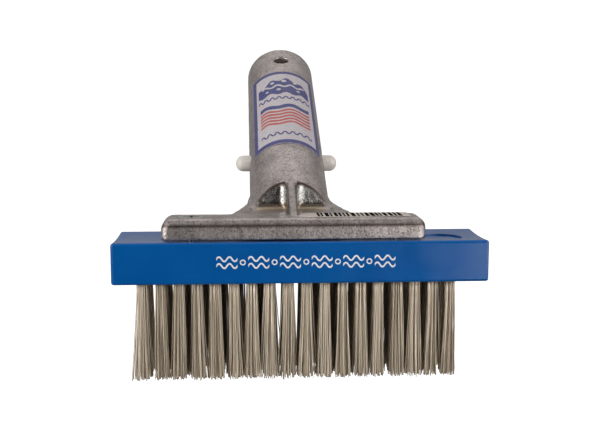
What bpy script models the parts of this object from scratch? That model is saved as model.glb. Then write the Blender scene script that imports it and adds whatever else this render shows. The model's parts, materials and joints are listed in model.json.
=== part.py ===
"""Pool wall brush: a plastic block with wire tufts under a die-cast pole handle with a two-button clip.

The drawing frame has its zero at the middle of the block's front top edge: +X along the block, +Y away
from the front face, +Z up. The root empty moves it so that the row's origin is the centre of the handle's
open end, where a pole slides on. All sizes below are millimetres.
"""

import math

import bmesh
import bpy
from mathutils import Matrix, Vector

MM = 0.001
FAR = 60.0  # past every solid, for the helper solids that cut right through

# Block
BLOCK_LENGTH = 127.0
BLOCK_DEPTH = 28.6
BLOCK_HEIGHT = 14.2
BLOCK_TOP_SAG = 0.5
BLOCK_EDGE = 0.9
MARK_CENTRE = (48.85, 11.0)
MARK_RADIUS = 7.5
MARK_BOTTOM = -0.95

# Tufts: a grid of wire bundles, each row pair leaning together at the tips
TUFT_COLUMNS = 18
TUFT_PITCH_X = 6.2
TUFT_PITCH_Y = 5.8
TUFT_SHIFT_X = -1.2
TUFT_RADIUS = 1.75
TUFT_TIP_RADIUS = 2.65
TUFT_LEAN = 0.8
TUFT_LENGTH = 34.0
TUFT_DEPTH = 8.7
TUFT_HOLE_RADIUS = 2.05
TUFT_HOLE_DEPTH = 9.0
TUFT_SIDES = 8

# Casting: base plate, neck, side webs and pole handle
GAP = 0.3
CASTING_X = -2.3
PLATE_LENGTH = 89.6
PLATE_FRONT = 2.35
PLATE_DEPTH = 15.25
PLATE_TOP = 7.6
PLATE_SHOULDER = 3.8
PLATE_EDGE = 2.6
NECK_HALF = 14.0
NECK_REAR = 44.0
WEB_TOP = 9.8
WEB_FOOT = 21.4
WEB_TOE = 0.5
WEB_CHAMFER = 1.4
WEB_CURVE = 1.3
WEB_STEPS = 8
WEB_INNER = 12.9
WEB_PEAK_Y = 36.0
WEB_REAR = 46.0
HANDLE_ANGLE = math.radians(27.0)
HANDLE_BASE_Y = 39.6
HANDLE_LENGTH = 105.4
HANDLE_RADIUS = 14.65
HANDLE_SIDES = 64
BORE_RADIUS = 11.5
BORE_BOTTOM = 16.0
MOUTH_RADIUS = 10.35
MOUTH_S = 86.0
TIP_EDGE = 0.6
POCKET_WALL_Y = 27.2
POCKET_HALF = 14.8
POCKET_ROUND = 3.0
POCKET_SINK = 0.15
RIB_HALF = 1.65
TUBE_FLOOR = PLATE_TOP - 0.7
TUBE_STEP_Y = 20.0
HOLLOW_WALL = 3.2
HOLLOW_CEILING = 4.4
NECK_HOLLOW_HALF = 11.0
NECK_HOLLOW_REAR = 43.0

# Clip: a bend near the open end, and two sprung legs that carry the buttons
BUTTON_S = 30.1
BUTTON_RADIUS = 3.175
BUTTON_REACH = 20.0
BUTTON_DOME = 2.9
SLOT_PLAY_TIP = 0.8
SLOT_PLAY_BASE = 1.9
SLOT_PLAY_SIDE = 0.45
PIVOT_S = 72.0
PIVOT_X = 9.3
CLIP_THICK = 1.8
CLIP_WIDTH = 8.0
KNUCKLE_RADIUS = 1.5
LEG_END_S = 23.5
TIP_HOLE_S = 94.4
TIP_HOLE_RADIUS = 3.175

# Screws, short enough to end above the tuft holes
SCREW_HALF_SPAN = 34.8
SCREW_Y = PLATE_FRONT + PLATE_DEPTH / 2
SCREW_HEAD = 4.7
SCREW_SHANK = 1.5
SCREW_LENGTH = 11.5
SCREW_BOSS = 5.6
SCREW_LIP = 0.15
SCREW_SUNK = 0.05
SCREW_POINT = 1.5
RECESS_LONG = 2.6
RECESS_NARROW = 0.45
RECESS_DEPTH = 1.6

# Handle label and the sticker on the plate
LABEL_START_S = 20.8
LABEL_END_S = 82.0
LABEL_HALF_STEPS = 10
LABEL_THICK = 0.2
STICKER_START_X = -0.5
STICKER_LENGTH = 37.9
STICKER_FRONT = 5.3
STICKER_DEPTH = 9.4
SKIN_GAP = 0.06

HANDLE_BASE = Vector((CASTING_X, HANDLE_BASE_Y, PLATE_TOP))
HANDLE_DIRECTION = Vector((0.0, math.cos(HANDLE_ANGLE), math.sin(HANDLE_ANGLE)))
HANDLE_TIP = HANDLE_BASE + HANDLE_DIRECTION * HANDLE_LENGTH


def clear_scene():
    for old in list(bpy.data.objects):
        bpy.data.objects.remove(old, do_unlink=True)


def new_collection(name, hidden=False):
    collection = bpy.data.collections.new(name)
    bpy.context.scene.collection.children.link(collection)
    collection.hide_render = hidden
    return collection


def new_empty(name, collection, location, rotation=(0.0, 0.0, 0.0), parent=None):
    empty = bpy.data.objects.new(name, None)
    collection.objects.link(empty)
    empty.parent = parent
    empty.location = Vector(location) * MM
    empty.rotation_euler = rotation
    return empty


def new_material(name, color, roughness, metallic=0.0):
    material = bpy.data.materials.new(name)
    material.use_nodes = True
    shader = material.node_tree.nodes["Principled BSDF"]
    shader.inputs["Base Color"].default_value = (*color, 1.0)
    shader.inputs["Roughness"].default_value = roughness
    shader.inputs["Metallic"].default_value = metallic
    material.diffuse_color = (*color, 1.0)
    return material


def finish_mesh(name, bm, smooth_angle=30.0):
    """A mesh in metres from a bmesh in millimetres, with its normals outward."""
    bmesh.ops.recalc_face_normals(bm, faces=bm.faces)
    bmesh.ops.scale(bm, vec=(MM, MM, MM), verts=bm.verts)
    mesh = bpy.data.meshes.new(name)
    bm.to_mesh(mesh)
    bm.free()
    mesh.shade_smooth()
    mesh.set_sharp_from_angle(angle=math.radians(smooth_angle))
    return mesh


def add_part(name, mesh, collection, parent, material, location=(0.0, 0.0, 0.0)):
    part = bpy.data.objects.new(name, mesh)
    collection.objects.link(part)
    part.parent = parent
    part.location = Vector(location) * MM
    if not mesh.materials:
        mesh.materials.append(material)
    return part


def add_cutter(name, bm, parent, location=(0.0, 0.0, 0.0)):
    """A helper solid for a Boolean, kept out of the render and out of the build."""
    cutter = bpy.data.objects.new(name, finish_mesh(name, bm))
    bpy.data.collections["cutters"].objects.link(cutter)
    cutter.parent = parent
    cutter.location = Vector(location) * MM
    cutter.hide_render = True
    cutter.display_type = "WIRE"
    return cutter


def combine(part, other, operation):
    modifier = part.modifiers.new(f"{operation.lower()} {other.name}", "BOOLEAN")
    modifier.operation = operation
    modifier.solver = "EXACT"
    modifier.object = other


def box(low, high):
    """A bmesh box between two corners."""
    bm = bmesh.new()
    low = Vector(low)
    high = Vector(high)
    middle = Matrix.Translation((low + high) / 2)
    size = Matrix.Diagonal((*(high - low), 1.0))
    bmesh.ops.create_cube(bm, size=1.0, matrix=middle @ size)
    return bm


def round_edges(bm, wanted, radius, segments):
    """Rounds the edges for which wanted(first, second) is true of their two end points."""
    edges = [edge for edge in bm.edges if wanted(edge.verts[0].co, edge.verts[1].co)]
    bmesh.ops.bevel(
        bm, geom=edges, offset=radius, offset_type="OFFSET", segments=segments, profile=0.5, affect="EDGES"
    )
    return bm


def rod(radius, start, end, axis="Z", sides=24, centre=(0.0, 0.0)):
    """A cylinder along an axis, with its centre given in the other two axes, in X, Y, Z order."""
    bm = bmesh.new()
    middle = (start + end) / 2
    turns = {
        "X": (Matrix.Rotation(math.pi / 2, 4, "Y"), Vector((middle, *centre))),
        "Y": (Matrix.Rotation(math.pi / 2, 4, "X"), Vector((centre[0], middle, centre[1]))),
        "Z": (Matrix.Identity(4), Vector((*centre, middle))),
    }
    turn, place = turns[axis]
    bmesh.ops.create_cone(
        bm, cap_ends=True, segments=sides, radius1=radius, radius2=radius, depth=end - start,
        matrix=Matrix.Translation(place) @ turn,
    )
    return bm


def prism(outline, start, end, axis):
    """A flat outline, pushed along X, Y or Z. The outline is in the other two axes, in X, Y, Z order."""
    place = {
        "X": lambda a, b: (start, a, b),
        "Y": lambda a, b: (a, start, b),
        "Z": lambda a, b: (a, b, start),
    }[axis]
    bm = bmesh.new()
    face = bm.faces.new([bm.verts.new(place(a, b)) for a, b in outline])
    pushed = bmesh.ops.extrude_face_region(bm, geom=[face])
    moved = [item for item in pushed["geom"] if isinstance(item, bmesh.types.BMVert)]
    step = Vector([end - start if letter == axis else 0.0 for letter in "XYZ"])
    bmesh.ops.translate(bm, vec=step, verts=moved)
    return bm


def arc(centre, radius, start_deg, end_deg, steps):
    points = []
    for step in range(steps + 1):
        angle = math.radians(start_deg + (end_deg - start_deg) * step / steps)
        points.append((centre[0] + radius * math.cos(angle), centre[1] + radius * math.sin(angle)))
    return points


def tuft_columns():
    """The X of each tuft column, from left to right."""
    middle = (TUFT_COLUMNS - 1) / 2
    return [TUFT_SHIFT_X + TUFT_PITCH_X * (column - middle) for column in range(TUFT_COLUMNS)]


def tuft_rows():
    """The Y of each tuft row, from the front to the rear."""
    return [BLOCK_DEPTH / 2 + TUFT_PITCH_Y * step for step in (-1.5, -0.5, 0.5, 1.5)]


def screw_places():
    return {"left": CASTING_X - SCREW_HALF_SPAN, "right": CASTING_X + SCREW_HALF_SPAN}


def join_into(target, extra):
    """Adds a second bmesh's geometry to the first."""
    mesh = bpy.data.meshes.new("joined")
    extra.to_mesh(mesh)
    extra.free()
    target.from_mesh(mesh)
    bpy.data.meshes.remove(mesh)
    return target


def make_block(collection, root):
    """The moulded block, with a shallow dish along its top and a blind hole for every tuft."""
    half = BLOCK_LENGTH / 2
    sagging_top = []
    steps = 6
    for step in range(steps + 1):
        across = 1.0 - step / steps
        sagging_top.append((BLOCK_DEPTH * across, -4.0 * BLOCK_TOP_SAG * across * (1.0 - across)))
    profile = [(0.0, -BLOCK_HEIGHT), (BLOCK_DEPTH, -BLOCK_HEIGHT)] + sagging_top
    body = prism(profile, -half, half, "X")

    def outer_edge(first, second):
        along = abs(first.x - second.x) > 1.0
        at_side = all(min(abs(p.y), abs(p.y - BLOCK_DEPTH)) < 0.01 for p in (first, second))
        at_end = abs(abs(first.x) - half) < 0.01 and not along
        return at_end or (along and at_side)

    round_edges(body, outer_edge, BLOCK_EDGE, 3)
    plastic = new_material("block_blue_plastic", (0.01, 0.105, 0.36), 0.22)
    block = add_part("bristle_block", finish_mesh("bristle_block", body), collection, root, plastic)

    holes = bmesh.new()
    for x in tuft_columns():
        for y in tuft_rows():
            low = -BLOCK_HEIGHT - 1.0
            high = -BLOCK_HEIGHT + TUFT_HOLE_DEPTH
            join_into(holes, rod(TUFT_HOLE_RADIUS, low, high, "Z", TUFT_SIDES, (x, y)))
    combine(block, add_cutter("tuft_holes", holes, root), "DIFFERENCE")

    pilots = bmesh.new()
    pilot_bottom = PLATE_TOP - SCREW_LENGTH - 2 * GAP
    for x in screw_places().values():
        join_into(pilots, rod(SCREW_SHANK + GAP, pilot_bottom, FAR, "Z", 16, (x, SCREW_Y)))
    combine(block, add_cutter("screw_pilots", pilots, root), "DIFFERENCE")

    mark = rod(MARK_RADIUS, MARK_BOTTOM, FAR, "Z", 32, MARK_CENTRE)
    combine(block, add_cutter("round_recess", mark, root), "DIFFERENCE")


def make_bundles():
    """Two neighbouring bundles, upright in their holes and flared until they merge at the tips."""
    bundles = []
    for side in (-1.0, 1.0):
        bm = bmesh.new()
        bmesh.ops.create_cone(
            bm, cap_ends=True, segments=TUFT_SIDES,
            radius1=TUFT_RADIUS, radius2=TUFT_RADIUS, depth=TUFT_DEPTH,
            matrix=Matrix.Translation((0.0, side * TUFT_PITCH_Y / 2, TUFT_DEPTH / 2)),
        )
        bottom = min(bm.faces, key=lambda face: face.calc_center_median().z)
        pushed = bmesh.ops.extrude_face_region(bm, geom=[bottom])
        bmesh.ops.delete(bm, geom=[bottom], context="FACES_ONLY")
        tips = [item for item in pushed["geom"] if isinstance(item, bmesh.types.BMVert)]
        to_axis = Matrix.Translation((0.0, -side * TUFT_PITCH_Y / 2, 0.0))
        flare = TUFT_TIP_RADIUS / TUFT_RADIUS
        bmesh.ops.scale(bm, vec=(flare, flare, 1.0), verts=tips, space=to_axis)
        bmesh.ops.translate(bm, vec=(0.0, -side * TUFT_LEAN, -TUFT_LENGTH), verts=tips)
        bundles.append(bm)
    return bundles


def make_tufts(collection, root):
    """One node for each front pair and each rear pair of bundles, all on one mesh."""
    first, second = make_bundles()
    whole = bpy.data.objects.new("tuft_pair", finish_mesh("tuft_pair", first, 50.0))
    collection.objects.link(whole)
    combine(whole, add_cutter("tuft_pair_partner", second, None), "UNION")
    graph = bpy.context.evaluated_depsgraph_get()
    mesh = bpy.data.meshes.new_from_object(whole.evaluated_get(graph))
    mesh.name = "tuft_pair"
    bpy.data.objects.remove(whole)
    steel = new_material("bristle_steel", (0.55, 0.5, 0.42), 0.35, 1.0)
    rows = tuft_rows()
    for side, y in (("front", (rows[0] + rows[1]) / 2), ("rear", (rows[2] + rows[3]) / 2)):
        for number, x in enumerate(tuft_columns(), 1):
            add_part(f"tuft_{side}_{number:02d}", mesh, collection, root, steel, (x, y, -BLOCK_HEIGHT))


def make_plate():
    """The base plate: round-shouldered ends, with the edges of its front and rear faces rounded."""
    left = CASTING_X - PLATE_LENGTH / 2
    right = left + PLATE_LENGTH
    rear = PLATE_FRONT + PLATE_DEPTH
    shoulder_z = PLATE_TOP - PLATE_SHOULDER
    outline = [(left, GAP), (right, GAP)]
    outline += arc((right - PLATE_SHOULDER, shoulder_z), PLATE_SHOULDER, 0, 90, 6)
    outline += arc((left + PLATE_SHOULDER, shoulder_z), PLATE_SHOULDER, 90, 180, 6)
    body = prism(outline, PLATE_FRONT, rear, "Y")

    def face_edge(first, second):
        on_face = abs(first.y - second.y) < 0.01
        return on_face and max(first.z, second.z) > GAP + 0.01

    return round_edges(body, face_edge, PLATE_EDGE, 4)


def make_web(side):
    """One side web: a gusset with a hollow curve, from the plate's rear edge up to the side of the tube."""
    front = PLATE_FRONT + PLATE_DEPTH - 2.0
    beside_tube = HANDLE_RADIUS + 0.5
    sections = []
    for step in range(WEB_STEPS + 1):
        rise = step / WEB_STEPS
        outer = beside_tube + (WEB_FOOT - beside_tube) * (1.0 - rise) ** WEB_CURVE
        y = front + (WEB_PEAK_Y - front) * rise
        sections.append((outer, y, PLATE_TOP + (WEB_TOP - PLATE_TOP) * rise))
    sections.append((beside_tube, WEB_REAR, WEB_TOP))

    bm = bmesh.new()
    rings = []
    for outer, y, top in sections:
        corners = (
            (WEB_INNER, GAP), (outer + WEB_TOE, GAP), (outer + WEB_TOE, top - WEB_CHAMFER - WEB_TOE),
            (outer, top), (WEB_INNER, top),
        )
        rings.append([bm.verts.new((CASTING_X + side * x, y, z)) for x, z in corners])
    for first, second in zip(rings, rings[1:]):
        for corner, vert in enumerate(first):
            other = (corner + 1) % len(first)
            bm.faces.new((vert, first[other], second[other], second[corner]))
    bm.faces.new(rings[0])
    bm.faces.new(rings[-1])
    bmesh.ops.triangulate(bm, faces=bm.faces)
    return bm


def make_pockets(root):
    """The cutters of the two front pockets: open to the front, with rounded edges along the back wall."""
    def on_back_wall(first, second):
        return min(first.y, second.y) > POCKET_WALL_Y - 0.01

    pockets = {}
    for name, side in (("left", -1.0), ("right", 1.0)):
        inner = side * RIB_HALF
        outer = side * POCKET_HALF
        low = (CASTING_X + min(inner, outer), -FAR, PLATE_TOP - POCKET_SINK)
        high = (CASTING_X + max(inner, outer), POCKET_WALL_Y, FAR)
        pocket = round_edges(box(low, high), on_back_wall, POCKET_ROUND, 4)
        pockets[name] = add_cutter(f"pocket_{name}", pocket, root)
    return pockets


def make_handle_tube(root, axis):
    """The slanted cylinder, cut flat underneath."""
    bm = rod(HANDLE_RADIUS, -FAR, HANDLE_LENGTH, "Z", HANDLE_SIDES)
    round_edges(bm, lambda first, second: min(first.z, second.z) > HANDLE_LENGTH - 0.01, TIP_EDGE, 2)
    tube = add_cutter("handle_tube", bm, axis)

    under = [
        (-FAR, TUBE_FLOOR), (TUBE_STEP_Y, TUBE_FLOOR), (TUBE_STEP_Y, GAP),
        (2 * FAR, GAP), (2 * FAR, -FAR), (-FAR, -FAR),
    ]
    combine(tube, add_cutter("tube_underside", prism(under, -FAR, FAR, "X"), root), "DIFFERENCE")
    return tube


def make_casting(collection, root, axis):
    """The die casting: plate, neck, webs and tube in one piece, hollow from below and along the bore."""
    aluminium = new_material("cast_aluminium", (0.52, 0.5, 0.47), 0.38, 1.0)
    plate = finish_mesh("handle_casting", make_plate())
    casting = add_part("handle_casting", plate, collection, root, aluminium)

    neck_low = (CASTING_X - NECK_HALF, PLATE_FRONT + PLATE_DEPTH - 5.0, GAP)
    neck = box(neck_low, (CASTING_X + NECK_HALF, NECK_REAR, PLATE_TOP))
    combine(casting, add_cutter("neck", neck, root), "UNION")
    tube = make_handle_tube(root, axis)
    pockets = make_pockets(root)
    for name, side in (("left", -1.0), ("right", 1.0)):
        web = add_cutter(f"web_{name}", make_web(side), root)
        combine(web, pockets[name], "DIFFERENCE")
        combine(tube, pockets[name], "DIFFERENCE")
        combine(casting, web, "UNION")
    combine(casting, tube, "UNION")

    bore = rod(BORE_RADIUS, BORE_BOTTOM, MOUTH_S, "Z", 48)
    combine(casting, add_cutter("bore", bore, axis), "DIFFERENCE")
    mouth = rod(MOUTH_RADIUS, MOUTH_S - 1.0, HANDLE_LENGTH + FAR, "Z", 48)
    combine(casting, add_cutter("mouth", mouth, axis), "DIFFERENCE")

    slot_radius = BUTTON_RADIUS + SLOT_PLAY_SIDE
    base_end = BUTTON_S - SLOT_PLAY_BASE - BUTTON_RADIUS + slot_radius
    tip_end = BUTTON_S + SLOT_PLAY_TIP + BUTTON_RADIUS - slot_radius
    stadium = arc((0.0, tip_end), slot_radius, 0, 180, 8) + arc((0.0, base_end), slot_radius, 180, 360, 8)
    combine(casting, add_cutter("button_slots", prism(stadium, -FAR, FAR, "X"), axis), "DIFFERENCE")

    tip_hole = rod(TIP_HOLE_RADIUS, -FAR, FAR, "Y", 24, (0.0, TIP_HOLE_S))
    combine(casting, add_cutter("tip_hole", tip_hole, axis), "DIFFERENCE")

    left, right = screw_places().values()
    plate_rear = PLATE_FRONT + PLATE_DEPTH
    plate_hollow = box(
        (left + SCREW_BOSS, PLATE_FRONT + HOLLOW_WALL, -FAR),
        (right - SCREW_BOSS, plate_rear - HOLLOW_WALL, HOLLOW_CEILING),
    )
    combine(casting, add_cutter("plate_hollow", plate_hollow, root), "DIFFERENCE")
    neck_hollow = box(
        (CASTING_X - NECK_HOLLOW_HALF, plate_rear + HOLLOW_WALL, -FAR),
        (CASTING_X + NECK_HOLLOW_HALF, NECK_HOLLOW_REAR, HOLLOW_CEILING),
    )
    combine(casting, add_cutter("neck_hollow", neck_hollow, root), "DIFFERENCE")

    for name, x in screw_places().items():
        sink = rod(SCREW_SHANK + GAP, -FAR, FAR, "Z", 24, (x, SCREW_Y))
        combine(casting, add_cutter(f"screw_hole_{name}", sink, root), "DIFFERENCE")
        cone = bmesh.new()
        depth = 4.0
        low = PLATE_TOP - SCREW_HEAD + SCREW_SHANK - GAP
        bmesh.ops.create_cone(
            cone, cap_ends=True, segments=24, radius1=SCREW_SHANK + GAP / 2,
            radius2=SCREW_SHANK + GAP / 2 + depth, depth=depth,
            matrix=Matrix.Translation((x, SCREW_Y, low + depth / 2)),
        )
        combine(casting, add_cutter(f"countersink_{name}", cone, root), "DIFFERENCE")


def make_screws(collection, root):
    """Countersunk screws, each a turned profile with a cross recess."""
    steel = new_material("screw_steel", (0.6, 0.6, 0.6), 0.3, 1.0)
    top = -SCREW_SUNK
    under_lip = top - SCREW_LIP
    under_head = under_lip - SCREW_HEAD + SCREW_SHANK
    profile = [
        (0.0, top), (SCREW_HEAD, top), (SCREW_HEAD, under_lip), (SCREW_SHANK, under_head),
        (SCREW_SHANK, -SCREW_LENGTH + SCREW_POINT), (0.0, -SCREW_LENGTH),
    ]
    arms = (("across", RECESS_LONG, RECESS_NARROW), ("along", RECESS_NARROW, RECESS_LONG))
    for name, x in screw_places().items():
        bm = bmesh.new()
        points = [bm.verts.new((px, 0.0, pz)) for px, pz in profile]
        for upper, lower in zip(points, points[1:]):
            bm.edges.new((upper, lower))
        bmesh.ops.scale(bm, vec=(MM, MM, MM), verts=bm.verts)
        mesh = bpy.data.meshes.new(f"screw_{name}")
        bm.to_mesh(mesh)
        bm.free()
        screw = add_part(f"screw_{name}", mesh, collection, root, steel, (x, SCREW_Y, PLATE_TOP))
        turned = screw.modifiers.new("turned", "SCREW")
        turned.steps = 24
        turned.render_steps = 24
        turned.use_merge_vertices = True
        turned.merge_threshold = 0.00001
        for way, arm_x, arm_y in arms:
            arm = box((-arm_x, -arm_y, -RECESS_DEPTH), (arm_x, arm_y, FAR))
            cutter = add_cutter(f"recess_{way}_{name}", arm, root, (x, SCREW_Y, PLATE_TOP))
            combine(screw, cutter, "DIFFERENCE")


def make_clip(collection, axis):
    """The moulded clip inside the tube: a bend, and two legs that turn about knuckles at its ends."""
    plastic = new_material("clip_white_plastic", (0.75, 0.72, 0.68), 0.35)
    half_width = CLIP_WIDTH / 2
    half_thick = CLIP_THICK / 2
    centre = (0.0, PIVOT_S)
    band = arc(centre, PIVOT_X + half_thick, 0, 180, 16) + arc(centre, PIVOT_X - half_thick, 180, 0, 16)
    bend = prism(band, -half_width, half_width, "Y")
    bend = add_part("clip_bend", finish_mesh("clip_bend", bend), collection, axis, plastic)
    for name, side in (("left", -1.0), ("right", 1.0)):
        seat = rod(KNUCKLE_RADIUS + GAP, -FAR, FAR, "Y", 20, (side * PIVOT_X, PIVOT_S))
        combine(bend, add_cutter(f"knuckle_seat_{name}", seat, axis), "DIFFERENCE")

        pivot = new_empty(f"pivot_{name}", collection, (side * PIVOT_X, 0.0, PIVOT_S), parent=axis)
        leg_low = (-half_thick, -half_width, LEG_END_S - PIVOT_S)
        leg = box(leg_low, (half_thick, half_width, -KNUCKLE_RADIUS / 2))
        leg = add_part(f"clip_leg_{name}", finish_mesh(f"clip_leg_{name}", leg), collection, pivot, plastic)
        knuckle = rod(KNUCKLE_RADIUS, -half_width, half_width, "Y", 20)
        combine(leg, add_cutter(f"knuckle_{name}", knuckle, pivot), "UNION")
        reach = side * (BUTTON_REACH - PIVOT_X)
        button = rod(BUTTON_RADIUS, min(0.0, reach), max(0.0, reach), "X", 24, (0.0, BUTTON_S - PIVOT_S))
        round_edges(
            button,
            lambda first, second, reach=reach: max(abs(first.x - reach), abs(second.x - reach)) < 0.01,
            BUTTON_DOME, 6,
        )
        combine(leg, add_cutter(f"button_{name}", button, pivot), "UNION")


def make_label(collection, axis):
    """The label: a thin curved sheet round the front of the tube."""
    film = new_material("label_film", (0.75, 0.76, 0.78), 0.3)
    step = 360.0 / HANDLE_SIDES
    span = LABEL_HALF_STEPS * step
    inner = HANDLE_RADIUS + SKIN_GAP
    outline = arc((0.0, 0.0), inner + LABEL_THICK, -90 - span, -90 + span, 2 * LABEL_HALF_STEPS)
    outline += arc((0.0, 0.0), inner, -90 + span, -90 - span, 2 * LABEL_HALF_STEPS)
    sheet = prism(outline, LABEL_START_S, LABEL_END_S, "Z")
    add_part("handle_label", finish_mesh("handle_label", sheet), collection, axis, film)


def make_sticker(collection, root):
    """The barcode sticker, flat on the plate's top and over the right screw's head."""
    paper = new_material("sticker_paper", (0.8, 0.79, 0.76), 0.5)
    low = Vector((STICKER_START_X, STICKER_FRONT, PLATE_TOP + SKIN_GAP))
    high = low + Vector((STICKER_LENGTH, STICKER_DEPTH, LABEL_THICK))
    add_part("barcode_sticker", finish_mesh("barcode_sticker", box(low, high)), collection, root, paper)


def main():
    clear_scene()
    collection = new_collection("pool_wall_brush")
    new_collection("cutters", hidden=True)
    root = new_empty("brush_frame", collection, -HANDLE_TIP)
    axis = new_empty("handle_axis", collection, HANDLE_BASE, (HANDLE_ANGLE - math.pi / 2, 0.0, 0.0), root)
    make_block(collection, root)
    make_tufts(collection, root)
    make_casting(collection, root, axis)
    make_screws(collection, root)
    make_clip(collection, axis)
    make_label(collection, axis)
    make_sticker(collection, root)


main()
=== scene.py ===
"""Looks for the pool wall brush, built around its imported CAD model.

Sizes are millimetres in the drawing frame, whose zero is the middle of the block's front top
edge: +X along the block, +Y away from the front face, +Z up. place() turns them into the row
frame, in metres.
"""

import json
import math
import random

import bmesh
import bpy
from mathutils import Matrix, Vector, noise


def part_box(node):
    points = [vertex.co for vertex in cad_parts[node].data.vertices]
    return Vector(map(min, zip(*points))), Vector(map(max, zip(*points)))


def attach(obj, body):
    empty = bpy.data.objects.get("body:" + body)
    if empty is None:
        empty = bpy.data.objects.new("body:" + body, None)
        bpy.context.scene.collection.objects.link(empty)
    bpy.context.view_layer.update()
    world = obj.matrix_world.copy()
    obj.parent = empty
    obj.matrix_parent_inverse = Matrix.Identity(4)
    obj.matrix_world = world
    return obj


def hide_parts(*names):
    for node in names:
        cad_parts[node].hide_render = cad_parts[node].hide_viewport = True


MM = 0.001
BLOCK_HEIGHT = 14.2
HANDLE_RADIUS = 14.65
HANDLE_LENGTH = 105.4

# The casting: the middle of its width, its plate, the wall at the back of its two pockets and the
# rib between them
CASTING_X = -2.3
PLATE_TOP = 7.6
PLATE_FRONT = 2.35
PLATE_FRONT_DEPTH = 1.8
POCKET_WALL_Y = 27.2
RIB_HALF = 1.65

# Where the pockets' metal with painted shade and highlights is: half its width, its front and back,
# and how far it is under the plate's top and inside the handle's surface
POCKET_HALF = 14.4
POCKET_FRONT_Y = 23.0
POCKET_BACK_Y = 28.0
POCKET_BELOW_PLATE = 1.2
POCKET_INSIDE_HANDLE = 0.9

# The casting's even mesh: its voxels in metres, and its waves, each a count per metre and a height
CASTING_VOXEL = 0.0005
CASTING_WAVES = ((160.0, 0.05), (600.0, 0.03))

# Painted shade on the casting: its colour, the height and half width of the painted dark reflection
# along the plate's front, and how much painted shade there is at each place
PAINTED_SHADE_COLOR = (0.055, 0.04, 0.03)
RIDGE_LINE_Z = 5.2
RIDGE_LINE_HALF = 1.05
RIDGE_PAINTED_REFLECTION = 0.95
RIM_PAINTED_SHADE = 0.97
RIB_PAINTED_SHADE = 0.2
RIB_SIDE_PAINTED_SHADE = 0.7
RIB_SIDE_HALF = 0.5

# Prints: how far they stand off the block, the handle and the plate, how thick they are, and how many
# steps their curves have
BLOCK_PRINT_LIFT = 0.01
LABEL_LIFT = 0.27
STICKER_LIFT = 0.27
PRINT_THICK = 0.03
STEPS_PER_WAVE = 16
STEPS_PER_DISC = 12
STEPS_PER_RING = 16

# The barcode's random bars: where they start and stop along the plate, their near and far ends,
# their widths and the gaps between them
BARS_START = 5.8
BARS_STOP = 35.4
BARS_NEAR = 5.2
BARS_FAR = 14.8
BAR_WIDTHS = (0.6, 0.8, 1.1, 1.3)
BAR_GAPS = (0.5, 0.6, 0.8)

# Wires. WIRE_STEPS are the shares of a wire's length where it has points. The last two are close, so
# that the shading of its flat end stays apart from that of its side.
TUFT_PITCH_Y = 5.8
FRONT_ROOT_RADIUS = 1.55
REAR_ROOT_RADIUS = 1.8
TIP_SPREAD = 2.8
WIRES_PER_TUFT = 56
WIRE_RADIUS = 0.165
WIRE_SIDES = 4
WIRE_STEPS = (0.0, 0.25, 0.5, 0.75, 0.985, 1.0)
WIRE_TOP = -9.0
WIRE_END = -48.2
STRAY_SHARE = 0.12
STRAY_SPREAD = 1.55
GOLDEN_ANGLE = math.pi * (3.0 - math.sqrt(5.0))

# How far the rear bundles of each column stand to the right of the front ones
REAR_SHIFTS = (
    0.0, 1.0, 1.4, 1.7, 2.0, 2.1, 2.2, 0.2, 0.0,
    0.0, -1.3, -1.0, -0.8, -0.7, -0.5, -0.3, -0.2, 0.0,
)

# Camera: its place, its turns in radians and its lens
CAMERA_AT = (-18.945, -319.975, 50.394)
CAMERA_YAW = -0.0572
CAMERA_PITCH = 0.1283
CAMERA_ROLL = -0.0005
CAMERA_LENS = 58.37

# Soft boxes, which all face the same point: a place, a width and height in metres, and watts
LIT_POINT = (0.0, 20.0, 0.0)
WARM_WHITE = (1.0, 0.97, 0.94)
SOFT_BOXES = {
    "top_box": ((0.0, 320.0, 850.0), (2.0, 0.9), 3.4),
    "front_box": ((0.0, -560.0, 640.0), (1.4, 0.35), 0.9),
    "left_box": ((-900.0, -480.0, 200.0), (0.8, 0.8), 9.4),
    "right_box": ((900.0, -480.0, 200.0), (0.8, 0.8), 5.2),
    "right_card": ((600.0, -1000.0, -150.0), (0.6, 0.8), 4.2),
}
FLOOR_Z = -330.0
FLOOR_HALF = 6.0

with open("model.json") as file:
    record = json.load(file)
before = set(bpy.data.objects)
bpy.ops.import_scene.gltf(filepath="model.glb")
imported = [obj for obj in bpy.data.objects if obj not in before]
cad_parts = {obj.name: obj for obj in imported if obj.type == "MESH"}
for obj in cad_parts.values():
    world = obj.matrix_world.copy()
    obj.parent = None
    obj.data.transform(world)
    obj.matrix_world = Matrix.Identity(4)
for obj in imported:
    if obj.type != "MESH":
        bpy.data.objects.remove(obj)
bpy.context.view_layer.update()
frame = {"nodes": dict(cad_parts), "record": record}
block_low, block_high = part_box("bristle_block")
front_top = Vector(((block_low.x + block_high.x) / 2, block_low.y, block_low.z + BLOCK_HEIGHT * MM))
pole_mount = next(mount for mount in frame["record"]["mounts"] if mount["name"] == "pole_end")
handle_along = Vector(pole_mount["axis"]).normalized()
handle_up = Vector((0.0, -handle_along.z, handle_along.y))


def clamp(value):
    """A number held between 0 and 1."""
    return min(1.0, max(0.0, value))


def place(x, y, z):
    """A point of the drawing frame, in the row frame."""
    return front_top + Vector((x, y, z)) * MM


def from_row(point):
    """A point of the row frame, in the drawing frame."""
    return (Vector(point) - front_top) / MM


def from_axis(point):
    """How far a point of the drawing frame is from the handle's axis."""
    arm = place(*point)
    return (arm - handle_along * arm.dot(handle_along)).length / MM


def on_handle(around, along, radius):
    """A point so far around the handle from its upper middle, and so far along it from its base."""
    angle = around / HANDLE_RADIUS
    out = Vector((math.sin(angle), 0.0, 0.0)) + handle_up * math.cos(angle)
    return (out * radius + handle_along * (along - HANDLE_LENGTH)) * MM


# ---------------------------------------------------------------- materials


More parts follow.
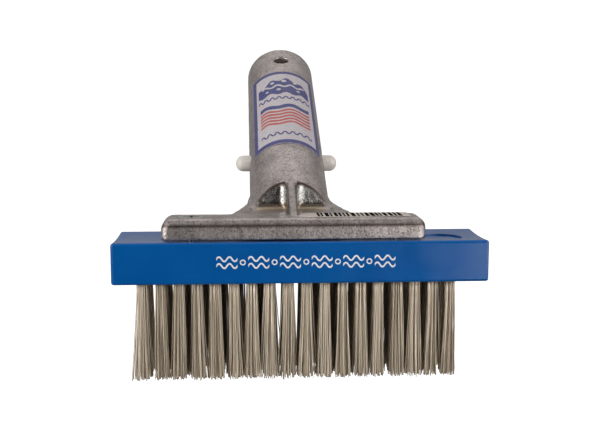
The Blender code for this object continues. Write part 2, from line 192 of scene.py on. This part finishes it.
class Shader:
    """A Principled material whose nodes are added by short calls.

    Noise scales are per metre, because object coordinates are in metres.
    """

    def __init__(self, name, color, roughness, metallic=0.0, **inputs):
        self.material = bpy.data.materials.new(name)
        self.material.use_nodes = True
        self.tree = self.material.node_tree
        self.principled = self.tree.nodes["Principled BSDF"]
        self.set(self.principled, "Base Color", (*color, 1.0))
        self.set(self.principled, "Roughness", roughness)
        self.set(self.principled, "Metallic", metallic)
        for key, value in inputs.items():
            self.set(self.principled, key.replace("_", " "), value)
        self.material.diffuse_color = (*color, 1.0)
        self.coordinates = self.tree.nodes.new("ShaderNodeTexCoord").outputs["Object"]

    def set(self, node, socket, value):
        node.inputs[socket].default_value = value

    def link(self, output, node, socket):
        self.tree.links.new(output, node.inputs[socket])

    def stretched(self, scale):
        """Coordinates for a noise that is longer along the axes with a low scale."""
        mapping = self.tree.nodes.new("ShaderNodeMapping")
        self.set(mapping, "Scale", scale)
        self.link(self.coordinates, mapping, "Vector")
        return mapping.outputs["Vector"]

    def noise(self, scale, detail=2.0, roughness=0.5, source=None):
        texture = self.tree.nodes.new("ShaderNodeTexNoise")
        self.link(source or self.coordinates, texture, "Vector")
        self.set(texture, "Scale", scale)
        self.set(texture, "Detail", detail)
        self.set(texture, "Roughness", roughness)
        return texture.outputs["Fac"]

    def height(self):
        """How far up a point is, in metres in the row frame."""
        node = self.tree.nodes.new("ShaderNodeSeparateXYZ")
        self.link(self.coordinates, node, "Vector")
        return node.outputs["Z"]

    def attribute(self, name):
        """A number stored on the mesh's points."""
        node = self.tree.nodes.new("ShaderNodeAttribute")
        node.attribute_name = name
        return node.outputs["Fac"]

    def ramp(self, source, *stops):
        """Each stop is a position and a colour."""
        node = self.tree.nodes.new("ShaderNodeValToRGB")
        elements = node.color_ramp.elements
        while len(elements) < len(stops):
            elements.new(0.5)
        for element, (position, color) in zip(elements, stops):
            element.position = position
            element.color = (*color, 1.0)
        self.link(source, node, "Fac")
        return node.outputs["Color"]

    def span(self, source, low, high, start=0.3, end=0.7):
        """A number that runs from low to high as the source runs from start to end."""
        node = self.tree.nodes.new("ShaderNodeMapRange")
        self.link(source, node, "Value")
        self.set(node, "From Min", start)
        self.set(node, "From Max", end)
        self.set(node, "To Min", low)
        self.set(node, "To Max", high)
        return node.outputs["Result"]

    def mix(self, factor, first, second, blend="MIX"):
        """The factor is a number or an output, and each colour is three numbers or an output."""
        node = self.tree.nodes.new("ShaderNodeMixRGB")
        node.blend_type = blend
        for socket, value in (("Fac", factor), ("Color1", first), ("Color2", second)):
            if isinstance(value, (int, float)):
                self.set(node, socket, value)
            elif isinstance(value, tuple):
                self.set(node, socket, (*value, 1.0))
            else:
                self.link(value, node, socket)
        return node.outputs["Color"]

    def bump(self, *layers):
        """Each layer is a height, a strength and a distance in metres."""
        previous = None
        for height, strength, distance in layers:
            node = self.tree.nodes.new("ShaderNodeBump")
            self.set(node, "Strength", strength)
            self.set(node, "Distance", distance)
            self.link(height, node, "Height")
            if previous:
                self.link(previous, node, "Normal")
            previous = node.outputs["Normal"]
        self.link(previous, self.principled, "Normal")

    def color(self, source):
        self.link(source, self.principled, "Base Color")

    def roughness(self, source):
        self.link(source, self.principled, "Roughness")


def blue_plastic():
    """Glossy, with faint clouds and a slightly wavy, slightly grained surface."""
    s = Shader("moulded_blue_plastic", (0.0, 0.096, 0.358), 0.2)
    cloud = s.noise(55.0, 3.0, 0.6)
    s.color(s.ramp(cloud, (0.3, (0.0, 0.088, 0.335)), (0.7, (0.001, 0.103, 0.382))))
    s.roughness(s.span(s.noise(160.0, 4.0, 0.65), 0.13, 0.24))
    s.bump((s.noise(90.0, 1.0), 0.12, 0.0006), (s.noise(2600.0, 2.0), 0.05, 0.0001))
    return s.material


def cast_metal(name, dark, light, roughness, pit_strength, shelf_painted_light=None):
    """Blotchy, pitted and scratched metal, with painted shade where the grime attribute says.

    roughness is a low and a high one. shelf is the lighter colour painted on its lowest part as
    painted light, with painted shade in a brown corner above it.
    """
    s = Shader(name, light, roughness[1], 1.0)
    blotch = s.noise(140.0, 6.0, 0.7)
    streak = s.noise(300.0, 3.0, 0.6, s.stretched((1.0, 0.16, 0.16)))
    fine = s.noise(1500.0, 3.0, 0.7)
    base = s.ramp(blotch, (0.32, dark), (0.62, light))
    base = s.mix(s.span(streak, 0.0, 0.35), base, dark)
    pits = s.ramp(fine, (0.40, (0.35, 0.33, 0.30)), (0.47, (1.0, 1.0, 1.0)))
    base = s.mix(0.7, base, pits, "MULTIPLY")
    scratches = s.ramp(s.noise(700.0, 5.0, 0.75), (0.36, (0.45, 0.42, 0.40)), (0.43, (1.0, 1.0, 1.0)))
    base = s.mix(0.8, base, scratches, "MULTIPLY")
    # Painted shade: the metal runs towards a dark colour where the attribute says.
    base = s.mix(s.span(s.attribute("painted_shade"), 0.0, 1.0, 0.0, 1.0), base, PAINTED_SHADE_COLOR)
    rough = s.span(s.noise(420.0, 4.0, 0.7), *roughness)
    if shelf_painted_light:
        # Painted light on the pockets' lowest part, and painted shade in the brown corner above it.
        plate_top = front_top.z + PLATE_TOP * MM
        corner_painted_shade_mask = s.span(s.height(), 0.9, 0.0, plate_top + 1.7 * MM, plate_top + 3.3 * MM)
        shelf_painted_light_mask = s.span(s.height(), 0.95, 0.0, plate_top + 0.7 * MM, plate_top + 1.4 * MM)
        base = s.mix(shelf_painted_light_mask, s.mix(corner_painted_shade_mask, base, (0.13, 0.09, 0.06)), shelf_painted_light)
        rough = s.mix(shelf_painted_light_mask, rough, (0.48, 0.48, 0.48))
    s.color(base)
    s.roughness(rough)
    s.bump((s.noise(260.0, 3.0, 0.6), 0.30, 0.0005), (fine, pit_strength, 0.00025))
    return s.material


def wire_steel():
    """Drawn wire, streaked along its length, in the tone that each wire's points hold."""
    s = Shader("stainless_wire", (0.8, 0.72, 0.6), 0.36, 0.75)
    tone = s.attribute("tone")
    base = s.ramp(tone, (0.0, (0.46, 0.38, 0.29)), (0.5, (0.84, 0.74, 0.60)), (1.0, (1.0, 0.92, 0.80)))
    drawn = s.noise(900.0, 2.0, 0.5, s.stretched((1.0, 1.0, 0.08)))
    s.color(s.mix(s.span(drawn, 0.0, 0.45), base, (0.30, 0.25, 0.18)))
    s.roughness(s.span(drawn, 0.28, 0.45))
    return s.material


def white_nylon():
    """Slightly translucent moulding, a little dirty."""
    s = Shader("white_nylon", (0.80, 0.77, 0.72), 0.32, Subsurface_Weight=0.5, Subsurface_Scale=0.004)
    s.set(s.principled, "Subsurface Radius", (1.0, 0.85, 0.7))
    s.color(s.ramp(s.noise(220.0, 3.0), (0.3, (0.70, 0.67, 0.62)), (0.7, (0.86, 0.83, 0.79))))
    s.roughness(s.span(s.noise(500.0, 3.0), 0.26, 0.42))
    s.bump((s.noise(1800.0, 2.0), 0.08, 0.0001))
    return s.material


def screw_steel():
    """Plated steel, with turned marks."""
    s = Shader("zinc_screw", (0.55, 0.55, 0.54), 0.3, 1.0)
    turned = s.noise(1200.0, 2.0, 0.6, s.stretched((1.0, 1.0, 4.0)))
    s.color(s.ramp(turned, (0.35, (0.42, 0.42, 0.42)), (0.65, (0.66, 0.65, 0.62))))
    s.roughness(s.span(turned, 0.22, 0.42))
    return s.material


def film(name, color, spread, roughness, gloss=0.5):
    """A printed or plain film. spread is how bright its darker clouds are, beside its colour."""
    s = Shader(name, color, roughness, Specular_IOR_Level=gloss)
    darker = tuple(channel * spread for channel in color)
    s.color(s.ramp(s.noise(380.0, 4.0, 0.65), (0.35, darker), (0.65, color)))
    s.roughness(s.span(s.noise(700.0, 3.0), roughness - 0.06, roughness + 0.1))
    s.bump((s.noise(900.0, 2.0), 0.08, 0.0001))
    return s.material


# ---------------------------------------------------------------- meshes


def add_piece(name, mesh, material, body, slot, *replaced):
    """A new object that rides on a body, takes the given material and may stand for CAD nodes. Its
    slot is not used.
    """
    piece = bpy.data.objects.new(name, mesh)
    bpy.context.scene.collection.objects.link(piece)
    if material:
        mesh.materials.append(material)
    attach(piece, body)
    if replaced:
        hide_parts(*replaced)
    return piece


def applied(mesh, *modifiers):
    """A new mesh with modifiers applied, each a type and its settings."""
    holder = bpy.data.objects.new("holder", mesh)
    bpy.context.scene.collection.objects.link(holder)
    for kind, settings in modifiers:
        modifier = holder.modifiers.new(kind.lower(), kind)
        for key, value in settings.items():
            setattr(modifier, key, value)
    graph = bpy.context.evaluated_depsgraph_get()
    result = bpy.data.meshes.new_from_object(holder.evaluated_get(graph))
    bpy.data.objects.remove(holder)
    return result


def painted_shade_at(point):
    """How much painted shade the casting has at a point of its surface, in the drawing frame, from 0
    to 1.
    """
    if point.y < PLATE_FRONT + PLATE_FRONT_DEPTH:
        # A painted dark reflection along the plate's front, under its rounded top edge.
        return RIDGE_PAINTED_REFLECTION * clamp(1.0 - abs(point.z - RIDGE_LINE_Z) / RIDGE_LINE_HALF)
    if point.z < PLATE_TOP + 0.3 or point.y > POCKET_WALL_Y + 1.5:
        return 0.0
    from_rib = abs(point.x - CASTING_X)
    if from_rib < RIB_HALF + RIB_SIDE_HALF:
        # Painted shade on the rib: its sides are darker than its front, and both fade out at the top
        # of the pockets.
        amount = RIB_PAINTED_SHADE if from_rib < RIB_HALF - RIB_SIDE_HALF else RIB_SIDE_PAINTED_SHADE
        return amount * clamp((POCKET_WALL_Y - point.y) / 1.2)
    depth = HANDLE_RADIUS - from_axis(point)
    if point.y < POCKET_WALL_Y - 2.5 or depth < -0.5:
        return 0.0
    # Painted shade on the pockets' rims: before the back wall, clear of the plate and next to the
    # handle's surface.
    before_wall = clamp((POCKET_WALL_Y + 0.7 - point.y) / 0.5)
    above_plate = clamp((point.z - PLATE_TOP - 1.2) / 1.8)
    near_surface = clamp((1.2 - depth) / 0.7)
    return RIM_PAINTED_SHADE * before_wall * above_plate * near_surface


def in_pocket(point):
    """Whether a point of the casting's surface, in the drawing frame, is inside a pocket."""
    if abs(point.x - CASTING_X) > POCKET_HALF or point.z < PLATE_TOP - POCKET_BELOW_PLATE:
        return False
    if not POCKET_FRONT_Y < point.y < POCKET_BACK_Y:
        return False
    return from_axis(point) < HANDLE_RADIUS - POCKET_INSIDE_HANDLE


def soften_casting(metal, pocket_metal_painted_shade_and_highlight):
    """The casting on an even mesh, with the soft edges and slight waves that a die leaves."""
    mesh = frame["nodes"]["handle_casting"].data.copy()
    mesh.materials.clear()
    bm = bmesh.new()
    bm.from_mesh(mesh)
    bmesh.ops.remove_doubles(bm, verts=bm.verts, dist=0.000002)
    bm.to_mesh(mesh)
    bm.free()
    mesh = applied(
        mesh,
        ("REMESH", {"mode": "VOXEL", "voxel_size": CASTING_VOXEL, "use_smooth_shade": True}),
        ("SMOOTH", {"factor": 0.5, "iterations": 3}),
    )
    mesh.materials.append(metal)
    mesh.materials.append(pocket_metal_painted_shade_and_highlight)
    moved = []
    for vertex in mesh.vertices:
        wave = sum(noise.noise(vertex.co * scale) * height for scale, height in CASTING_WAVES)
        moved.extend(vertex.co + vertex.normal * wave * MM)
    mesh.vertices.foreach_set("co", moved)
    # Painted shade on the plate's front, the rib and the pockets' rims.
    painted_shade = mesh.attributes.new("painted_shade", "FLOAT", "POINT")
    painted_shade.data.foreach_set("value", [painted_shade_at(from_row(vertex.co)) for vertex in mesh.vertices])
    # The pockets take the copy of the metal with painted shade and highlights.
    pocket_index = mesh.materials.find(pocket_metal_painted_shade_and_highlight.name)
    for face in mesh.polygons:
        if in_pocket(from_row(face.center)):
            face.material_index = pocket_index
    return add_piece("casting_softened", mesh, None, "brush", "cast_aluminium", "handle_casting")


def band(bm, to_point, samples):
    """Adds a thin closed strip: each sample is a place across, and the low and high edge there."""
    rings = []
    for across, low, high in samples:
        corners = ((low, 0.0), (high, 0.0), (high, PRINT_THICK), (low, PRINT_THICK))
        rings.append([bm.verts.new(to_point(across, edge, height)) for edge, height in corners])
    for first, second in zip(rings, rings[1:]):
        for corner in range(4):
            other = (corner + 1) % 4
            bm.faces.new((first[corner], first[other], second[other], second[corner]))
    bm.faces.new(rings[0][::-1])
    bm.faces.new(rings[-1])


def print_piece(name, material, to_point, bands, slot):
    """A piece of thin strips. to_point turns a place across, along and above into the row frame."""
    bm = bmesh.new()
    for samples in bands:
        band(bm, to_point, samples)
    bmesh.ops.recalc_face_normals(bm, faces=bm.faces)
    mesh = bpy.data.meshes.new(name)
    bm.to_mesh(mesh)
    bm.free()
    return add_piece(name, mesh, material, "brush", slot)


def wave_band(start, end, middle, height, length, weight):
    """A wavy line of even weight."""
    samples = []
    steps = max(4, round((end - start) / length * STEPS_PER_WAVE))
    for step in range(steps + 1):
        across = start + (end - start) * step / steps
        turn = 2.0 * math.pi * (across - start) / length
        slope = 2.0 * math.pi / length * height * math.cos(turn)
        half = weight / 2 * math.hypot(1.0, slope)
        centre = middle + height * math.sin(turn)
        samples.append((across, centre - half, centre + half))
    return samples


def disc_band(centre_across, centre_along, radius):
    """A disc, cut a little short at its two ends, so that the strip has a width everywhere."""
    samples = []
    for step in range(STEPS_PER_DISC + 1):
        angle = math.pi * (0.02 + 0.96 * step / STEPS_PER_DISC)
        across = centre_across - radius * math.cos(angle)
        half = radius * math.sin(angle)
        samples.append((across, centre_along - half, centre_along + half))
    return samples


def ring_bands(centre_across, centre_along, radius, weight):
    """A thin ring, as an upper and a lower half."""
    halves = []
    for side in (1.0, -1.0):
        samples = []
        for step in range(STEPS_PER_RING + 1):
            angle = math.pi * step / STEPS_PER_RING
            outer = radius * math.sin(angle)
            across = -radius * math.cos(angle)
            inner = math.sqrt(max(0.0, (radius - weight) ** 2 - across ** 2))
            low, high = sorted((side * inner, side * max(outer, inner + 0.02)))
            samples.append((centre_across + across, centre_along + low, centre_along + high))
        halves.append(samples)
    return halves


def on_block_front(across, up, height):
    """A print's point on the block's front face. height is how far it stands off."""
    return place(across, -BLOCK_PRINT_LIFT - height, up)


def on_sticker(across, deep, height):
    """A print's point on the plate's sticker."""
    return place(across, deep, PLATE_TOP + STICKER_LIFT + height)


def on_label(across, along, height):
    """A print's point on the handle's label."""
    return on_handle(across, along, HANDLE_RADIUS + LABEL_LIFT + height)


def on_label_marks(across, along, height):
    """The same, on top of what is already printed there."""
    return on_label(across, along, height + PRINT_THICK)


def make_block_print():
    """A line of plain waves and bubbles, where a maker's words would be."""
    white = film("white_print", (0.85, 0.88, 0.92), 0.9, 0.45)
    bands = []
    groups = 6
    for group in range(groups):
        start = -28.5 + group * 10.6
        bands.append(wave_band(start, start + 7.0, -5.6, 0.75, 3.5, 0.55))
        bands.append(wave_band(start, start + 7.0, -7.9, 0.75, 3.5, 0.55))
        if group < groups - 1:
            bands += ring_bands(start + 8.8, -6.75, 1.0, 0.42)
    print_piece("block_wave_print", white, on_block_front, bands, "block_blue_plastic")


def label_frame(half, low, high):
    """The label's border: a strip along each side, and one at each end, bent round the handle."""
    side = 1.9
    steps = 20
    around = [-half + 2.0 * half * step / steps for step in range(steps + 1)]
    return [
        [(-half, low, high), (-half + side, low, high)],
        [(half - side, low, high), (half, low, high)],
        [(across, low, low + 2.6) for across in around],
        [(across, high - 2.2, high) for across in around],
    ]


def label_crest(half):
    """A wide mound with a wavy top and bottom."""
    samples = []
    steps = 28
    for step in range(steps + 1):
        across = -half + 2.0 * half * step / steps
        top = 74.6 - 0.05 * across ** 2 + 1.2 * math.sin(across * 0.95)
        samples.append((across, 62.0 + 0.9 * math.sin(across * 0.95 + 0.6), top))
    return samples


def make_label_print():
    """The label's blue frame, a crest of waves, bubbles and a few red and blue water lines."""
    blue = film("label_blue_print", (0.045, 0.05, 0.21), 0.85, 0.32)
    red = film("label_red_print", (0.52, 0.09, 0.07), 0.85, 0.32)
    blue_bands = label_frame(14.38, 20.85, 81.95)
    blue_bands.append(label_crest(11.2))
    blue_bands.append(wave_band(-11.2, 11.2, 58.0, 0.9, 2.8, 0.7))
    blue_bands.append(wave_band(-10.5, 10.5, 50.6, 0.8, 10.5, 2.6))
    blue_bands.append(wave_band(-10.5, 10.5, 28.6, 0.9, 3.0, 0.7))
    red_bands = []
    for line in range(5):
        red_bands.append(wave_band(-10.5, 10.5, 47.0 - 2.5 * line, 0.8, 10.5, 1.3))
    print_piece("label_blue_marks", blue, on_label, blue_bands, "label_film")
    print_piece("label_red_marks", red, on_label, red_bands, "label_film")
    white = film("label_white_print", (0.56, 0.525, 0.565), 0.92, 0.3)
    foam = [wave_band(-9.2, 9.2, 68.6, 0.8, 5.5, 1.2)]
    foam += [disc_band(-4.6, 71.9, 0.9), disc_band(0.4, 72.9, 1.1), disc_band(4.9, 71.9, 0.8)]
    foam += [disc_band(-7.0, 65.2, 0.7), disc_band(-2.0, 65.4, 0.9), disc_band(6.2, 65.2, 0.8)]
    print_piece("label_foam_marks", white, on_label_marks, foam, "label_film")


def make_barcode():
    """Random bars of four widths, which stand for no number."""
    ink = film("sticker_ink", (0.012, 0.012, 0.014), 0.8, 0.7, 0.0)
    chance = random.Random(22)
    across = BARS_START
    bands = []
    while across < BARS_STOP:
        width = chance.choice(BAR_WIDTHS)
        bands.append([(across, BARS_NEAR, BARS_FAR), (across + width, BARS_NEAR, BARS_FAR)])
        across += width + chance.choice(BAR_GAPS)
    print_piece("barcode_bars", ink, on_sticker, bands, "sticker_paper")


def wire_points(root, tip, bow):
    """The points of one wire, straight out of the block and then drifting towards its tip."""
    points = []
    for share in WIRE_STEPS:
        drift = share ** 1.35
        side = bow * math.sin(math.pi * share)
        points.append(root.lerp(tip, drift) + side)
        points[-1].z = root.z + (tip.z - root.z) * share
    return points


class Wires:
    """Collects wires: their points, each point's tone, their faces, and whether each is smooth."""

    def __init__(self):
        self.verts = []
        self.tones = []
        self.faces = []
        self.smooth = []

    def add(self, points, radius, spin, tone):
        """One wire, as a square rod with flat ends that follows the points."""
        base = len(self.verts)
        for point in points:
            for corner in range(WIRE_SIDES):
                angle = spin + 2.0 * math.pi * corner / WIRE_SIDES
                offset = Vector((math.cos(angle) * radius, math.sin(angle) * radius, 0.0))
                self.verts.append(place(*(point + offset)))
                self.tones.append(tone)
        last = len(self.verts) - WIRE_SIDES
        for ring in range(base, last, WIRE_SIDES):
            following = ring + WIRE_SIDES
            for corner in range(WIRE_SIDES):
                other = (corner + 1) % WIRE_SIDES
                self.faces.append((ring + corner, ring + other, following + other, following + corner))
                self.smooth.append(True)
        self.faces.append(tuple(base + corner for corner in reversed(range(WIRE_SIDES))))
        self.faces.append(tuple(last + corner for corner in range(WIRE_SIDES)))
        self.smooth += [False, False]

    def mesh(self, name):
        mesh = bpy.data.meshes.new(name)
        mesh.from_pydata(self.verts, [], self.faces)
        tone = mesh.attributes.new("tone", "FLOAT", "POINT")
        tone.data.foreach_set("value", self.tones)
        mesh.polygons.foreach_set("use_smooth", self.smooth)
        return mesh


def add_tuft(wires, chance, x, y, lean_x, lean_y, root_radius):
    """One bundle of wires: a tight round root, and an open tip that leans."""
    tuft_tone = chance.uniform(-0.12, 0.12)
    squeeze = chance.uniform(0.92, 1.12)
    for number in range(WIRES_PER_TUFT):
        distance = math.sqrt((number + 0.5) / WIRES_PER_TUFT)
        angle = GOLDEN_ANGLE * number + chance.uniform(-0.25, 0.25)
        outward = Vector((math.cos(angle), math.sin(angle), 0.0)) * distance
        root = Vector((x, y, WIRE_TOP)) + outward * root_radius
        stray = chance.uniform(1.0, STRAY_SPREAD) if chance.random() < STRAY_SHARE else 1.0
        spread = outward * TIP_SPREAD * stray * squeeze
        jitter = Vector((chance.gauss(0.0, 0.3), chance.gauss(0.0, 0.3), 0.0))
        end = WIRE_END + abs(chance.gauss(0.0, 0.4)) * (1.0 if number % 7 else 2.0)
        tip = Vector((x + lean_x, y + lean_y, end)) + spread + jitter
        bow = Vector((chance.gauss(0.0, 0.16), chance.gauss(0.0, 0.16), 0.0))
        radius = WIRE_RADIUS * chance.uniform(0.88, 1.1)
        spin = chance.uniform(0.0, 1.5)
        tone = clamp(0.5 + tuft_tone + chance.gauss(0.0, 0.2))
        wires.add(wire_points(root, tip, bow), radius, spin, tone)


def make_bristles():
    """A piece for each tuft node, with its two bundles as single wires."""
    steel = wire_steel()
    chance = random.Random(5)
    for name in sorted(n for n in frame["nodes"] if n.startswith("tuft_")):
        low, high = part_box(name)
        middle = from_row((low + high) / 2)
        rear = name.startswith("tuft_rear")
        root_radius = REAR_ROOT_RADIUS if rear else FRONT_ROOT_RADIUS
        shift = REAR_SHIFTS[int(name[-2:]) - 1] if rear else 0.0
        wires = Wires()
        for side in (-1.0, 1.0):
            lean_x = chance.gauss(0.0, 0.75 if rear else 0.4)
            lean_y = -side * 0.8 + chance.gauss(0.0, 0.3)
            x = middle.x + (shift if side > 0.0 else shift * 0.55)
            y = middle.y + side * TUFT_PITCH_Y / 2
            add_tuft(wires, chance, x, y, lean_x, lean_y, root_radius)
        mesh = wires.mesh(name + "_wires")
        add_piece(name + "_wires", mesh, steel, "brush", "bristle_steel", name)


# ---------------------------------------------------------------- stage


def make_camera():
    """The viewing angle: a little above the block, from slightly left, turned slightly right."""
    forward = Vector((
        -math.sin(CAMERA_YAW) * math.cos(CAMERA_PITCH),
        math.cos(CAMERA_YAW) * math.cos(CAMERA_PITCH),
        -math.sin(CAMERA_PITCH),
    ))
    level = Vector((math.cos(CAMERA_YAW), math.sin(CAMERA_YAW), 0.0))
    upright = level.cross(forward)
    right = level * math.cos(CAMERA_ROLL) + upright * math.sin(CAMERA_ROLL)
    up = upright * math.cos(CAMERA_ROLL) - level * math.sin(CAMERA_ROLL)
    camera = bpy.data.objects.new("camera", bpy.data.cameras.new("camera"))
    bpy.context.scene.collection.objects.link(camera)
    camera.data.sensor_width = 36.0
    camera.data.lens = CAMERA_LENS
    camera.data.clip_start = 0.01
    turn = Matrix((right, up, -forward)).transposed().to_4x4()
    camera.matrix_world = Matrix.Translation(place(*CAMERA_AT)) @ turn
    bpy.context.scene.camera = camera


def make_floor():
    """A pale floor well below the brush, which neither reflections nor diffuse rays see."""
    bm = bmesh.new()
    bmesh.ops.create_grid(bm, x_segments=1, y_segments=1, size=FLOOR_HALF)
    mesh = bpy.data.meshes.new("floor")
    bm.to_mesh(mesh)
    bm.free()
    floor = bpy.data.objects.new("floor", mesh)
    floor.location = place(0.0, 0.0, FLOOR_Z)
    bpy.context.scene.collection.objects.link(floor)
    s = Shader("pale_floor", (0.9, 0.9, 0.9), 0.9)
    s.color(s.ramp(s.noise(3.0), (0.4, (0.9, 0.9, 0.9)), (0.6, (0.93, 0.93, 0.93))))
    s.set(s.principled, "Emission Color", (1.0, 1.0, 1.0, 1.0))
    s.set(s.principled, "Emission Strength", 1.0)
    mesh.materials.append(s.material)
    floor.visible_glossy = False
    floor.visible_diffuse = False


def make_surround():
    """A white surround that only the camera sees. Other rays see a dim one, brighter at the back."""
    world = bpy.data.worlds.new("surround")
    bpy.context.scene.world = world
    world.use_nodes = True
    tree = world.node_tree
    background = tree.nodes["Background"]
    background.inputs["Color"].default_value = (1.0, 1.0, 1.0, 1.0)
    background.inputs["Strength"].default_value = 1.05
    dim = tree.nodes.new("ShaderNodeBackground")
    dim.inputs["Color"].default_value = (1.0, 0.97, 0.95, 1.0)
    direction = tree.nodes.new("ShaderNodeTexCoord").outputs["Generated"]
    parts = tree.nodes.new("ShaderNodeSeparateXYZ")
    tree.links.new(direction, parts.inputs["Vector"])
    strength = tree.nodes.new("ShaderNodeMapRange")
    tree.links.new(parts.outputs["Y"], strength.inputs["Value"])
    for socket, value in (("From Min", -0.5), ("From Max", 0.6), ("To Min", 0.03), ("To Max", 0.34)):
        strength.inputs[socket].default_value = value
    tree.links.new(strength.outputs["Result"], dim.inputs["Strength"])
    path = tree.nodes.new("ShaderNodeLightPath")
    mix = tree.nodes.new("ShaderNodeMixShader")
    tree.links.new(path.outputs["Is Camera Ray"], mix.inputs["Fac"])
    tree.links.new(dim.outputs["Background"], mix.inputs[1])
    tree.links.new(background.outputs["Background"], mix.inputs[2])
    tree.links.new(mix.outputs["Shader"], tree.nodes["World Output"].inputs["Surface"])


def make_lights():
    """Soft boxes above, in front and at both sides."""
    for name, (at, size, power) in SOFT_BOXES.items():
        light = bpy.data.lights.new(name, "AREA")
        light.shape = "RECTANGLE"
        light.size, light.size_y = size
        light.energy = power
        light.color = WARM_WHITE
        lamp = bpy.data.objects.new(name, light)
        bpy.context.scene.collection.objects.link(lamp)
        lamp.location = place(*at)
        lamp.rotation_euler = (place(*LIT_POINT) - place(*at)).to_track_quat("-Z", "Y").to_euler()


def finish_cad_nodes():
    """Materials for the CAD nodes that are shown as they are."""
    nylon = white_nylon()
    steel = screw_steel()
    finishes = {
        "bristle_block": blue_plastic(),
        "clip_bend": nylon,
        "clip_leg_left": nylon,
        "clip_leg_right": nylon,
        "screw_left": steel,
        "screw_right": steel,
        "handle_label": film("label_paper", (0.54, 0.505, 0.55), 0.93, 0.3),
        "barcode_sticker": film("sticker_face", (0.62, 0.57, 0.53), 0.93, 0.7, 0.05),
    }
    for name, material in finishes.items():
        materials = frame["nodes"][name].data.materials
        materials.clear()
        materials.append(material)


def main():
    finish_cad_nodes()
    metal = cast_metal(
        "die_cast_aluminium",
        dark=(0.375, 0.34, 0.335),
        light=(0.63, 0.58, 0.57),
        roughness=(0.32, 0.5),
        pit_strength=0.5,
    )
    # The pockets' copy of the metal, whose darker darks paint shade and lighter lights paint
    # highlights.
    pocket_metal_painted_shade_and_highlight = cast_metal(
        "pocket_aluminium_painted_shade_and_highlight",
        dark=(0.26, 0.27, 0.27),
        light=(0.74, 0.73, 0.71),
        roughness=(0.18, 0.32),
        pit_strength=0.4,
        shelf_painted_light=(0.66, 0.56, 0.43),
    )
    soften_casting(metal, pocket_metal_painted_shade_and_highlight)
    make_bristles()
    make_block_print()
    make_label_print()
    make_barcode()
    make_camera()
    make_floor()
    make_surround()
    make_lights()
    bpy.context.scene.view_settings.view_transform = "Standard"


main()
